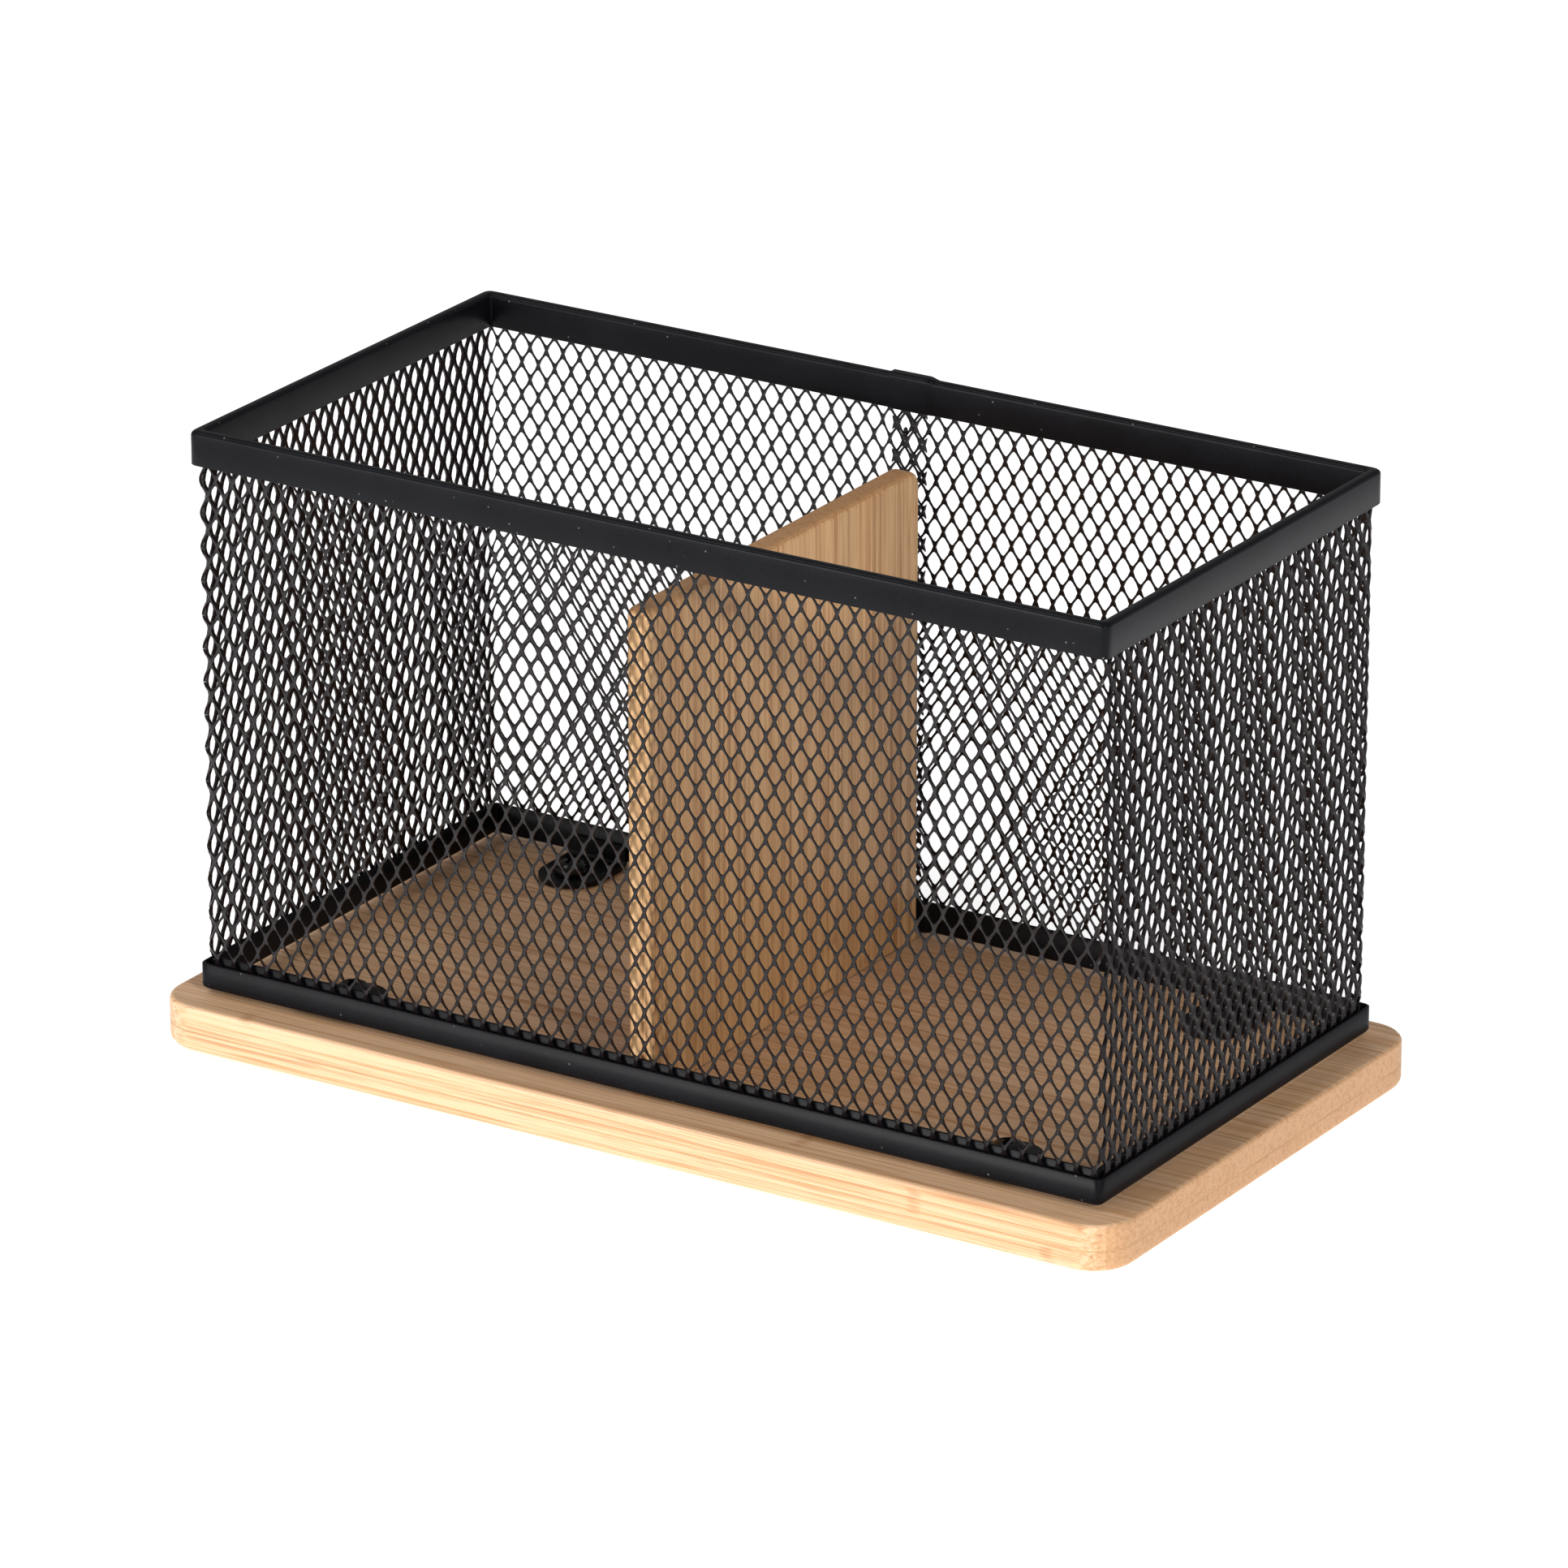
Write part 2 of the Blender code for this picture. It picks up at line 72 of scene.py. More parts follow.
class Wiring:
    """Short calls that add nodes to one node tree."""

    def __init__(self, tree: bpy.types.NodeTree) -> None:
        """Keep the tree that the calls add to.

        Args:
            tree: A material's node tree or a shader node group.
        """
        self.tree = tree

    def add(self, kind: str, plugs: dict[str, Any] | None = None,
            **settings: Any) -> bpy.types.Node:
        """Add a node.

        Args:
            kind: The node's type name.
            plugs: A socket to link or a value to set, by the name of each input.
            **settings: Properties of the node itself.

        Returns:
            The new node.
        """
        node = self.tree.nodes.new(kind)
        for name, value in settings.items():
            setattr(node, name, value)
        for name, value in (plugs or {}).items():
            self.plug(node.inputs[name], value)
        return node

    def plug(self, socket: bpy.types.NodeSocket, value: Any) -> None:
        """Link a socket to another one, or set its value.

        Args:
            socket: The input.
            value: An output socket, a number, or a tuple of numbers.
        """
        if isinstance(value, bpy.types.NodeSocket):
            self.tree.links.new(value, socket)
        elif isinstance(value, tuple) and socket.type == "RGBA":
            socket.default_value = (*value[:3], 1.0)
        else:
            socket.default_value = value

    def math(self, operation: str, *values: Any, clamp: bool = False) -> bpy.types.NodeSocket:
        """Add a Math node.

        Args:
            operation: Its operation.
            *values: What goes into its inputs, in order.
            clamp: Whether the result is held between 0 and 1.

        Returns:
            Its output.
        """
        node = self.add("ShaderNodeMath", operation=operation, use_clamp=clamp)
        for socket, value in zip(node.inputs, values):
            self.plug(socket, value)
        return node.outputs[0]

    def product(self, first: Any, second: Any) -> bpy.types.NodeSocket:
        """Multiply two values."""
        return self.math("MULTIPLY", first, second)

    def weighted(self, *parts: tuple[Any, float]) -> bpy.types.NodeSocket:
        """Add up values, each times its share.

        Args:
            *parts: The values and their shares.

        Returns:
            The sum.
        """
        total, *others = [self.product(value, share) for value, share in parts]
        for other in others:
            total = self.math("ADD", total, other)
        return total

    def scaled(self, vector: Any, scale: Scale,
               turn: tuple[float, float, float] = (0.0, 0.0, 0.0)) -> bpy.types.NodeSocket:
        """Scale and turn a vector with a Mapping node.

        Args:
            vector: The vector socket.
            scale: Its scale along each axis.
            turn: Its turn about each axis, in radians.

        Returns:
            The mapped vector.
        """
        node = self.add("ShaderNodeMapping", {"Vector": vector, "Scale": scale, "Rotation": turn})
        return node.outputs[0]

    def noise(self, vector: Any, scale: float = 1.0, detail: float = 2.0,
              roughness: float = 0.5) -> bpy.types.NodeSocket:
        """Add a noise texture.

        Args:
            vector: Where it is read.
            scale: Its scale.
            detail: Its number of octaves.
            roughness: The weight of its fine octaves.

        Returns:
            Its value, between 0 and 1.
        """
        node = self.add("ShaderNodeTexNoise", {
            "Vector": vector, "Scale": scale, "Detail": detail, "Roughness": roughness})
        return node.outputs[0]

    def band(self, value: Any, start: float, end: float, low: float = 0.0,
             high: float = 1.0) -> bpy.types.NodeSocket:
        """Turn a range of a value into another, with soft ends.

        Args:
            value: The value.
            start: Where the result is low.
            end: Where the result is high.
            low: The result at the start.
            high: The result at the end.

        Returns:
            The new value.
        """
        node = self.add("ShaderNodeMapRange", interpolation_type="SMOOTHSTEP")
        for socket, item in zip(node.inputs, (value, start, end, low, high)):
            self.plug(socket, item)
        return node.outputs[0]

    def blend(self, share: Any, first: Any, second: Any,
              blend_type: str = "MIX") -> bpy.types.NodeSocket:
        """Mix two colours.

        Args:
            share: How much of the second colour shows.
            first: The first colour.
            second: The second colour.
            blend_type: How they are mixed.

        Returns:
            The mixed colour.
        """
        node = self.add("ShaderNodeMix", data_type="RGBA", blend_type=blend_type)
        for index, item in zip((0, 6, 7), (share, first, second)):
            self.plug(node.inputs[index], item)
        return node.outputs[2]


def new_group(name: str, inputs: dict[str, str]) -> tuple[Wiring, Any, Any]:
    """Make an effect's node group, which puts out a colour, a roughness and a height.

    Args:
        name: The group's name.
        inputs: The kind of each input, by name.

    Returns:
        The group's wiring, the sockets that bring its inputs and the sockets of its results.
    """
    tree = bpy.data.node_groups.new(name, "ShaderNodeTree")
    results = {"Color": "Color", "Roughness": "Float", "Height": "Float"}
    for way, sockets in (("INPUT", inputs), ("OUTPUT", results)):
        for label, kind in sockets.items():
            tree.interface.new_socket(name=label, in_out=way, socket_type=f"NodeSocket{kind}")
    wiring = Wiring(tree)
    return wiring, wiring.add("NodeGroupInput").outputs, wiring.add("NodeGroupOutput").inputs


@dataclass(frozen=True)
class FibreEffect:
    """The bamboo effect, with fibres along X and pores on the cut ends.

    Scales are in cells a metre. Limits are where a mask is empty and where it is full, and the
    strip tones are those of the darkest and the lightest strip. A ramp adds the two values that
    it runs between.
    """

    fine_scale: Scale = (30.0, 2400.0, 2400.0)
    middle_scale: Scale = (11.0, 1000.0, 1000.0)
    broad_scale: Scale = (3.5, 95.0, 95.0)
    dash_scale: Scale = (75.0, 3000.0, 3000.0)
    pore_scale: Scale = (250.0, 2300.0, 2300.0)
    tone_shares: tuple[float, float, float] = (0.42, 0.40, 0.18)
    tan_limits: Limits = (0.42, 0.58)
    streak_middle: Limits = (0.52, 0.66)
    streak_fine: Limits = (0.40, 0.60)
    streak_strength: float = 0.62
    dash_limits: Limits = (0.60, 0.72)
    dash_strength: float = 0.40
    strips_per_metre: float = 160.0
    layers_per_metre: float = 190.0
    strip_tones: Limits = (0.94, 1.05)
    knuckle_wobble: float = 4.0 * MM
    knuckle_limits: Limits = (2.2 * MM, 0.4 * MM)
    knuckle_fine: Limits = (0.30, 0.60)
    knuckle_strength: float = 0.55
    pore_randomness: float = 0.9
    pore_limits: Limits = (0.42, 0.16)
    pore_patches: Ramp = (0.35, 0.65, 0.45, 0.9)
    pore_strength: float = 0.75
    end_streaks: Ramp = (0.45, 0.70, 0.0, 0.4)
    roughness: Ramp = (0.35, 0.65, 0.42, 0.58)

    def build(self) -> bpy.types.NodeTree:
        """Build the node group.

        Returns:
            The node group.
        """
        w, given, result = new_group(
            "bamboo_fibres",
            {"Vector": "Vector", "Cut End": "Float", "Pale": "Color", "Tan": "Color",
             "Streak": "Color", "Pore": "Color", "Knuckle Spacing": "Float"})
        place, streak = given["Vector"], given["Streak"]
        fine = w.noise(w.scaled(place, self.fine_scale), detail=3.0, roughness=0.6)
        middle = w.noise(w.scaled(place, self.middle_scale), detail=3.0, roughness=0.6)
        broad = w.noise(w.scaled(place, self.broad_scale), detail=2.0)
        dashes = w.noise(w.scaled(place, self.dash_scale), detail=1.0)
        tone = w.weighted(*zip((fine, middle, broad), self.tone_shares))
        colour = w.blend(w.band(tone, *self.tan_limits), given["Pale"], given["Tan"])
        streaks = w.product(w.band(middle, *self.streak_middle), w.band(fine, *self.streak_fine))
        colour = w.blend(w.product(streaks, self.streak_strength), colour, streak)
        dash_mask = w.product(w.band(dashes, *self.dash_limits), self.dash_strength)
        colour = w.blend(dash_mask, colour, streak)

        split = w.add("ShaderNodeSeparateXYZ", {"Vector": place})
        strip = w.math("FLOOR", w.product(split.outputs["Y"], self.strips_per_metre))
        layer = w.math("FLOOR", w.product(split.outputs["Z"], self.layers_per_metre))
        both = w.add("ShaderNodeCombineXYZ", {"X": strip, "Y": layer})
        shift = w.add("ShaderNodeTexWhiteNoise", {"Vector": both.outputs[0]},
                      noise_dimensions="2D").outputs["Value"]
        spacing = given["Knuckle Spacing"]
        wobble = w.product(w.math("SUBTRACT", middle, 0.5), self.knuckle_wobble)
        along = w.math("ADD", w.math("ADD", split.outputs["X"], wobble), w.product(shift, spacing))
        gap = w.math("PINGPONG", along, w.product(spacing, 0.5))
        knuckle = w.product(w.band(gap, *self.knuckle_limits), w.band(fine, *self.knuckle_fine))
        colour = w.blend(w.product(knuckle, self.knuckle_strength), colour, streak)
        strip_tone = w.band(shift, 0.0, 1.0, *self.strip_tones)
        strip_grey = w.add("ShaderNodeCombineXYZ", dict.fromkeys("XYZ", strip_tone))
        colour = w.blend(1.0, colour, strip_grey.outputs[0], "MULTIPLY")

        pores = w.add("ShaderNodeTexVoronoi", {
            "Vector": w.scaled(place, self.pore_scale), "Scale": 1.0,
            "Randomness": self.pore_randomness})
        dots = w.band(pores.outputs["Distance"], *self.pore_limits)
        dots = w.product(dots, w.band(broad, *self.pore_patches))
        ends = w.blend(w.product(dots, self.pore_strength), given["Tan"], given["Pore"])
        ends = w.blend(w.band(middle, *self.end_streaks), ends, streak)
        colour = w.blend(given["Cut End"], colour, ends)

        w.plug(result["Color"], colour)
        w.plug(result["Roughness"], w.band(tone, *self.roughness))
        height = w.math("SUBTRACT", tone, w.product(dots, given["Cut End"]))
        w.plug(result["Height"], height)
        return w.tree


@dataclass(frozen=True)
class CoatEffect:
    """The powder coat effect: a fine grain, pale specks, and soft colour change.

    Scales are in cells a metre. Limits are where a mask is empty and where it is full.
    """

    grain_scale: float = 5200.0
    cloud_scale: float = 60.0
    tone_shares: tuple[float, float] = (0.6, 0.4)
    light_limits: Limits = (0.38, 0.62)
    speck_scale: float = 620.0
    speck_gap: float = 0.86
    speck_limits: Limits = (0.16, 0.04)
    speck_height: float = 0.8
    roughness_swing: float = 0.25

    def build(self) -> bpy.types.NodeTree:
        """Build the node group.

        Returns:
            The node group.
        """
        w, given, result = new_group(
            "powder_grain",
            {"Vector": "Vector", "Dark": "Color", "Light": "Color", "Speck": "Color",
             "Speck Amount": "Float", "Roughness": "Float"})
        place = given["Vector"]
        grain = w.noise(place, scale=self.grain_scale, detail=2.0, roughness=0.6)
        cloud = w.noise(place, scale=self.cloud_scale, detail=2.0)
        tone = w.weighted(*zip((grain, cloud), self.tone_shares))
        colour = w.blend(
            w.band(tone, *self.light_limits), given["Dark"], given["Light"])
        cells = w.add("ShaderNodeTexVoronoi", {
            "Vector": place, "Scale": self.speck_scale, "Randomness": 1.0})
        chance = w.add("ShaderNodeSeparateColor", {"Color": cells.outputs["Color"]}).outputs[0]
        chosen = w.math("GREATER_THAN", chance, self.speck_gap)
        specks = w.product(w.band(cells.outputs["Distance"], *self.speck_limits), chosen)
        specks = w.product(specks, given["Speck Amount"])
        swing = w.product(w.math("SUBTRACT", grain, 0.5), self.roughness_swing)
        w.plug(result["Color"], w.blend(specks, colour, given["Speck"]))
        w.plug(result["Roughness"], w.math("ADD", given["Roughness"], swing))
        w.plug(result["Height"],
               w.math("ADD", grain, w.product(specks, self.speck_height)))
        return w.tree


class Effects:
    """The surface effects that several finishes share, each a node group built once."""

    def __init__(self) -> None:
        """Build the groups."""
        self.fibres = FibreEffect().build()
        self.coat = CoatEffect().build()


# ---------------------------------------------------------------- finishes


class Grain(Enum):
    """The way a bamboo piece's fibres run, as the turn that brings them onto X."""

    ALONG_X = (0.0, 0.0, 0.0)
    ALONG_Z = (0.0, math.pi / 2, 0.0)


def start_material(name: str) -> tuple[bpy.types.Material, Wiring, bpy.types.Node, bpy.types.Node]:
    """Make a material with a Principled shader and a Texture Coordinate node.

    Args:
        name: The material's name.

    Returns:
        The material, its wiring, the shader node and the coordinate node.
    """
    material = bpy.data.materials.new(name)
    material.use_nodes = True
    w = Wiring(material.node_tree)
    shader = material.node_tree.nodes["Principled BSDF"]
    return material, w, shader, w.add("ShaderNodeTexCoord")


def use_effect(w: Wiring, shader: bpy.types.Node, effect: bpy.types.NodeTree,
               inputs: dict[str, Any], bump: float, depth: float) -> None:
    """Feed a shader's colour, roughness and normal from one of the shared effects.

    Args:
        w: The material's wiring.
        shader: Its Principled shader.
        effect: The effect's node group.
        inputs: What goes into each of the group's inputs.
        bump: The strength of the bump.
        depth: The depth of the bump, in metres.
    """
    group = w.add("ShaderNodeGroup", node_tree=effect)
    for label, value in inputs.items():
        w.plug(group.inputs[label], value)
    normal = w.add("ShaderNodeBump", {
        "Height": group.outputs["Height"], "Strength": bump, "Distance": depth})
    w.plug(shader.inputs["Base Color"], group.outputs["Color"])
    w.plug(shader.inputs["Roughness"], group.outputs["Roughness"])
    w.plug(shader.inputs["Normal"], normal.outputs[0])


@dataclass(frozen=True)
class BambooFinish:
    """Lacquered bamboo with long fibres and porous cut ends."""

    name: str
    grain: Grain
    pale: Colour
    tan: Colour
    streak: Colour
    pore: Colour
    knuckle_spacing: float = 0.21
    cut_end_limits: Limits = (0.45, 0.80)
    bump: float = 0.25
    bump_depth: float = 0.25 * MM
    coat: float = 0.12
    coat_roughness: float = 0.35

    def material(self, effects: Effects) -> bpy.types.Material:
        """Build the material.

        Args:
            effects: The shared node groups.

        Returns:
            The material.
        """
        material, w, shader, coordinates = start_material(self.name)
        facing = w.scaled(coordinates.outputs["Normal"], PLAIN_SCALE, self.grain.value)
        split = w.add("ShaderNodeSeparateXYZ", {"Vector": facing})
        use_effect(w, shader, effects.fibres, {
            "Vector": w.scaled(coordinates.outputs["Object"], PLAIN_SCALE, self.grain.value),
            "Cut End": w.band(w.math("ABSOLUTE", split.outputs["X"]), *self.cut_end_limits),
            "Pale": self.pale, "Tan": self.tan, "Streak": self.streak, "Pore": self.pore,
            "Knuckle Spacing": self.knuckle_spacing}, self.bump, self.bump_depth)
        shader.inputs["Coat Weight"].default_value = self.coat
        shader.inputs["Coat Roughness"].default_value = self.coat_roughness
        return material


@dataclass(frozen=True)
class CoatFinish:
    """Powder coat on steel, or another plain surface with the same fine grain."""

    name: str
    dark: Colour
    light: Colour
    speck: Colour = (0.20, 0.20, 0.20)
    speck_amount: float = 0.8
    roughness: float = 0.38
    metallic: float = 0.0
    specular: float = 0.5
    bump: float = 0.25
    bump_depth: float = 0.06 * MM

    def material(self, effects: Effects) -> bpy.types.Material:
        """Build the material.

        Args:
            effects: The shared node groups.

        Returns:
            The material.
        """
        material, w, shader, coordinates = start_material(self.name)
        use_effect(w, shader, effects.coat, {
            "Vector": coordinates.outputs["Object"], "Dark": self.dark, "Light": self.light,
            "Speck": self.speck, "Speck Amount": self.speck_amount,
            "Roughness": self.roughness}, self.bump, self.bump_depth)
        shader.inputs["Metallic"].default_value = self.metallic
        shader.inputs["Specular IOR Level"].default_value = self.specular
        return material


BASE_BAMBOO = BambooFinish(
    "bamboo_base_lacquer", Grain.ALONG_X, pale=(0.80, 0.515, 0.31), tan=(0.64, 0.36, 0.175),
    streak=(0.42, 0.18, 0.065), pore=(0.36, 0.18, 0.08))
DIVIDER_BAMBOO = BambooFinish(
    "bamboo_divider_lacquer", Grain.ALONG_Z, pale=(0.72, 0.43, 0.20), tan=(0.55, 0.285, 0.115),
    streak=(0.30, 0.11, 0.035), pore=(0.28, 0.12, 0.06), knuckle_spacing=0.33)
CHANNEL_COAT = CoatFinish(
    "channel_powder_coat", dark=(0.0028, 0.0030, 0.0042), light=(0.0066, 0.0070, 0.0094),
    roughness=0.34, specular=0.10)
MESH_COAT = CoatFinish(
    "mesh_powder_coat", dark=(0.0062, 0.0040, 0.0046), light=(0.0104, 0.0074, 0.0082),
    speck_amount=0.15, roughness=0.20, specular=0.22, bump=0.10)
LUG_COAT = CoatFinish(
    "lug_powder_coat", dark=(0.003, 0.003, 0.0035), light=(0.007, 0.007, 0.008), specular=0.15)
SCREW_OXIDE = CoatFinish(
    "screw_black_oxide", dark=(0.002, 0.002, 0.0025), light=(0.005, 0.005, 0.006),
    speck_amount=0.1, roughness=0.14, specular=0.35, bump=0.08)
ZINC = CoatFinish(
    "screw_zinc", dark=(0.42, 0.42, 0.40), light=(0.62, 0.62, 0.60), speck=(0.8, 0.8, 0.8),
    speck_amount=0.3, roughness=0.30, metallic=1.0, bump=0.1)
GLUE = CoatFinish(
    "glue_amber", dark=(0.46, 0.25, 0.11), light=(0.64, 0.38, 0.18), speck=(0.30, 0.14, 0.06),
    speck_amount=0.5, roughness=0.5, bump=0.3)
PAD_FOAM = CoatFinish(
    "pad_foam_rubber", dark=(0.012, 0.012, 0.012), light=(0.030, 0.030, 0.030),
    speck_amount=0.2, roughness=0.85, specular=0.3, bump=0.6)


# ---------------------------------------------------------------- pieces


def new_object(name: str, data: bpy.types.ID) -> bpy.types.Object:
    """Put a new object into the scene.

    Args:
        name: The object's name.
        data: Its mesh, light or camera.

    Returns:
        The object.
    """
    made = bpy.data.objects.new(name, data)
    bpy.context.scene.collection.objects.link(made)
    return made


def finish_piece(name: str, mesh: bpy.types.Mesh, material: bpy.types.Material,
                 node: str | None = None) -> bpy.types.Object:
    """Put a mesh into the scene as a piece that rides on the object's one body.

    Args:
        name: The piece's name.
        mesh: Its mesh, in place.
        material: Its finish.
        node: The CAD node that it stands for, if any.

    Returns:
        The new object.
    """
    mesh.name = name
    mesh.materials.clear()
    mesh.materials.append(material)
    piece = new_object(name, mesh)
    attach(piece, "root")
    if node is not None:
        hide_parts(node)
    LOG.info("%s: %d faces, finish %s", name, len(mesh.polygons), material.name)
    return piece


def mesh_of(made: bmesh.types.BMesh, name: str, sharp_angle: float | None) -> bpy.types.Mesh:
    """Write a bmesh to a new, smoothly shaded mesh.

    Args:
        made: The bmesh, which is freed.
        name: The mesh's name.
        sharp_angle: The angle in degrees from which edges stay sharp, or None for no sharp edge.

    Returns:
        The mesh.
    """
    mesh = bpy.data.meshes.new(name)
    made.to_mesh(mesh)
    made.free()
    mesh.shade_smooth()
    if sharp_angle is not None:
        mesh.set_sharp_from_angle(angle=math.radians(sharp_angle))
    return mesh


@dataclass(frozen=True)
class BasketPlan:
    """The plan of the basket's walls.

    Distances along the wall start in the middle of the front and grow towards +X. The left half
    mirrors the right one, so its distances are negative.
    """

    half_length: float
    half_width: float
    corner_radius: float = 3.0 * MM
    lap_start: float = 1.7 * MM
    lap_end: float = -6.7 * MM
    overrun: float = 20.0 * MM
    corner_steps: int = 10

    @classmethod
    def from_cad(cls) -> "BasketPlan":
        """Read the basket's outer size from the CAD rim, whose lap is on the back.

        Returns:
            The plan.
        """
        low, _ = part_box("rim_channel")
        return cls(half_length=-low[0], half_width=-low[1])

    @property
    def straight_x(self) -> float:
        """Half the straight part of a long wall."""
        return self.half_length - self.corner_radius

    @property
    def straight_y(self) -> float:
        """Half the straight part of a short wall."""
        return self.half_width - self.corner_radius

    def table(self, inset: float) -> tuple[np.ndarray, np.ndarray]:
        """List points along the right half of the plan, which runs on past the back's middle.

        Args:
            inset: The distance in from the outer face.

        Returns:
            The distance along the wall of each point, and its x, y and outward direction.
        """
        radius = self.corner_radius - inset
        rows = [(0.0, -self.half_width + inset, 0.0, -1.0)]
        corners = ((self.straight_x, -self.straight_y, -90.0),
                   (self.straight_x, self.straight_y, 0.0))
        for x, y, start in corners:
            for step in range(self.corner_steps + 1):
                angle = math.radians(start + 90.0 * step / self.corner_steps)
                out = (math.cos(angle), math.sin(angle))
                rows.append((x + radius * out[0], y + radius * out[1], *out))
        rows.append((-self.overrun, self.half_width - inset, 0.0, 1.0))
        points = np.array(rows)
        steps = np.hypot(*np.diff(points[:, :2], axis=0).T)
        return np.concatenate([[0.0], np.cumsum(steps)]), points


@dataclass(frozen=True)
class SheetLength:
    """One length of the mesh sheet between two upright cuts, in distances along the sheet."""

    name: str
    start: float
    end: float


@dataclass(frozen=True)
class WallStretch:
    """How the stretched sheet lies on one wall after a corner of the basket.

    Bending stretches the sheet unevenly, so each wall has its own pitch and its own level.
    """

    take_up: float
    pitch: float
    level: float
    lean: float


@dataclass
class DiamondSheet:
    """The expanded-metal sheet that forms the basket's four walls.

    The sheet is modelled flat, with the diamonds' long way upright, and then bent round the plan.
    Its two ends lap in the middle of the back wall. The waves, which make it uneven, are in
    radians a metre, apart from their bow, in radians.
    """

    plan: BasketPlan
    pitch_along: float = 4.025 * MM
    pitch_up: float = 7.067 * MM
    first_bond_along: float = -103.91 * MM
    first_bond_up: float = 1.27 * MM
    right_wall: WallStretch = WallStretch(3.39 * MM, 4.006 * MM, 0.0, 0.0)
    back_right: WallStretch = WallStretch(2.48 * MM, 3.997 * MM, -0.75 * MM, 0.022)
    left_wall: WallStretch = WallStretch(1.68 * MM, 4.047 * MM, -1.12 * MM, -0.009)
    back_left: WallStretch = WallStretch(4.43 * MM, 4.060 * MM, -0.54 * MM, -0.009)
    lean_top: float = 112.0 * MM
    hole_half_width: float = 1.57 * MM
    hole_half_height: float = 2.52 * MM
    hole_squareness: float = 1.32
    inset: float = 0.30 * MM
    sheet: float = 0.52 * MM
    edge_drop: float = 0.80
    strand_slope: float = 0.56
    crossing_blend: float = 0.25 * MM
    strand_sway: float = 0.03 * MM
    unevenness: float = 0.05 * MM
    wave_along: float = 410.0
    wave_up: float = 233.0
    wave_shear: float = 61.0
    wave_bow: float = 5.0
    wave_bow_up: float = 90.0
    edge_share: float = 0.8
    cut_reach: float = 0.001 * MM
    least_reach: float = 1e-9
    plane_reach: float = 1e-7
    bottom: float = 14.2 * MM
    top: float = 129.6 * MM
    centre_inset: float = 1.25 * MM
    lap_step: float = 0.55 * MM
    lap_reach: float = 2.5 * MM

    def lengths(self) -> list[SheetLength]:
        """List the lengths that the sheet is cut into, at the corners and at the lap.

        Returns:
            The five lengths.
        """
        right, left = self.sheet_marks(1), self.sheet_marks(-1)
        front_right, front_left = (right[1] + right[2]) / 2, -(left[1] + left[2]) / 2
        rear_right, rear_left = (right[3] + right[4]) / 2, -(left[3] + left[4]) / 2
        lap_right = right[4] + self.on_sheet(
            self.plan.straight_x - self.plan.lap_end, self.back_right)
        lap_left = left[4] + self.on_sheet(
            self.plan.straight_x + self.plan.lap_start, self.back_left)
        return [
            SheetLength("mesh_front", front_left, front_right),
            SheetLength("mesh_right", front_right, rear_right),
            SheetLength("mesh_left", rear_left, front_left),
            SheetLength("mesh_back_right", rear_right, lap_right),
            SheetLength("mesh_back_left", -lap_left, rear_left),
        ]

    def on_sheet(self, distance: float, wall: WallStretch) -> float:
        """Length of flat sheet that covers a distance on a wall."""
        return distance * self.pitch_along / wall.pitch

    def sheet_marks(self, side: int) -> np.ndarray:
        """List how far along the sheet each straight part starts and ends.

        Args:
            side: 1 for the half of the basket towards +X, -1 for the other half.

        Returns:
            The distances of the six marks.
        """
        wall, back = ((self.right_wall, self.back_right) if side > 0
                      else (self.left_wall, self.back_left))
        return np.cumsum([
            0.0, self.plan.straight_x, wall.take_up,
            self.on_sheet(2 * self.plan.straight_y, wall), back.take_up,
            self.on_sheet(2 * self.plan.straight_x, back)])

    def flat(self, length: SheetLength) -> bmesh.types.BMesh:
        """Model one length of the sheet flat: x along the sheet, y up, z through it.

        Args:
            length: The length.

        Returns:
            The flat, closed sheet with its holes.
        """
        half = (Matrix(((0.5 * self.pitch_along, 0.5 * self.pitch_along, 0.0),
                        (-0.5 * self.pitch_up, 0.5 * self.pitch_up, 0.0),
                        (0.0, 0.0, 1.0))).to_4x4())
        middle_along = (length.start + length.end) / 2
        middle_up = (self.bottom + self.top) / 2
        along = round((middle_along - self.first_bond_along) / self.pitch_along)
        up = round((middle_up - self.first_bond_up) / self.pitch_up)
        centre = Vector((self.first_bond_along + along * self.pitch_along,
                         self.first_bond_up + up * self.pitch_up, 0.0))
        across = (length.end - length.start) / self.pitch_along
        tall = (self.top - self.bottom) / self.pitch_up
        count = 2 * (math.ceil((across + tall) / 2) + 2)

